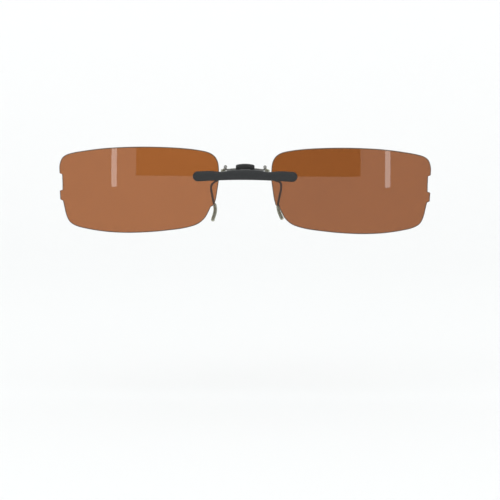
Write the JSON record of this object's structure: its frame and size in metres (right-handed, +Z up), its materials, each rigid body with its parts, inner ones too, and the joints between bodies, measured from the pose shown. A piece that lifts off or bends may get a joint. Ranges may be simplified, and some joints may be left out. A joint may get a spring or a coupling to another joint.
{
  "type": "flip-up clip-on sun lenses",
  "caption": "Tinted half-height lenses on a black bridge bar that hinges up from a spring clip, whose sleeved wire hooks and prongs grip the bridge of a pair of spectacles.",
  "frame": {"origin": "middle of the seat pad's rear face, where the clip-on bears on the front of the spectacle bridge", "axes": "+X to the right seen from the front, along the width; +Y backwards towards the wearer, out of the seat pad; +Z up. The lenses hang in front, at negative Y"},
  "size_m": [0.1238, 0.0142, 0.0287],
  "materials": {
    "bar_black": "satin black moulded bar, faint blue-green cast",
    "base_black": "satin black moulding",
    "lever_black": "black moulding with a fine texture",
    "lens_tint": "polished, orange-brown polarising tint with a mirror-like gloss",
    "wire_steel": "bright drawn wire",
    "spring_steel": "spring temper, satin",
    "clamp_steel": "fine brushed",
    "fastener_steel": "turned, bright",
    "washer_nylon": "natural nylon",
    "sleeve_vinyl": "soft clear vinyl, slightly cloudy",
    "pad_silicone": "translucent grey silicone"
  },
  "bodies": {
    "clip_base": {"base_frame": "base_black", "clamp_screw_front": "fastener_steel", "clamp_screw_rear": "fastener_steel", "detent_leaf": "spring_steel", "detent_screw": "fastener_steel", "lower_prong_left": "wire_steel", "lower_prong_right": "wire_steel", "prong_clamp": "clamp_steel", "prong_sleeve_left": "sleeve_vinyl", "prong_sleeve_right": "sleeve_vinyl", "seat_pad": "pad_silicone", "torsion_spring": "spring_steel"},
    "lens_carrier": {"bridge_bar": "bar_black", "hinge_pin": "fastener_steel", "hinge_washer_left": "washer_nylon", "hinge_washer_right": "washer_nylon", "lens_left": "lens_tint", "lens_right": "lens_tint", "lens_screw_left_inner": "fastener_steel", "lens_screw_left_outer": "fastener_steel", "lens_screw_right_inner": "fastener_steel", "lens_screw_right_outer": "fastener_steel", "lens_washer_left_inner": "washer_nylon", "lens_washer_left_outer": "washer_nylon", "lens_washer_right_inner": "washer_nylon", "lens_washer_right_outer": "washer_nylon"},
    "hook_lever": {"hook_sleeve_left": "sleeve_vinyl", "hook_sleeve_right": "sleeve_vinyl", "hook_wire": "wire_steel", "press_lever": "lever_black"}
  },
  "joints": [
    {"name": "flip_hinge", "type": "hinge", "parent": "clip_base", "child": "lens_carrier", "pos_m": [0, -0.0084, -0.0003], "axis": [-1, 0, 0], "range_deg": [0, 90], "deforming": ["detent_leaf"]},
    {"name": "hook_pivot", "type": "hinge", "parent": "clip_base", "child": "hook_lever", "pos_m": [0, -0.0042, 0.00055], "axis": [1, 0, 0], "range_deg": [0, 22], "stiffness_Nm_per_rad": 0.0115, "springref_deg": -29.79, "deforming": ["torsion_spring"]}
  ]
}
